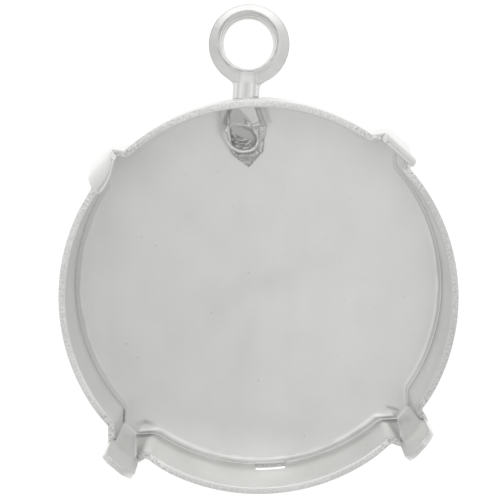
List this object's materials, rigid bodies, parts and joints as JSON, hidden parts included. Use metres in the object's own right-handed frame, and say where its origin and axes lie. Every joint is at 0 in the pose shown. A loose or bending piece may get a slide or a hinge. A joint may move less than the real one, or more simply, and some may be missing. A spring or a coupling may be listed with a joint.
{
  "type": "round cup setting",
  "caption": "Round closed-back cup setting for a stone, with prongs to fold over its edge and a riveted hanging eye.",
  "frame": {"origin": "middle of the cup's flat back", "axes": "+Z points out of the cup's open side, +Y from the middle to the hanging eye"},
  "size_m": [0.0264, 0.0325, 0.0087],
  "materials": {
    "plated_sheet": "satin silver plate on pressed brass sheet, with grainy cut edges",
    "plated_eye": "silver plate with fine scratches on a brass eye"
  },
  "bodies": {
    "root": {"cup": "plated_sheet", "hanging_eye": "plated_eye"}
  },
  "joints": []
}
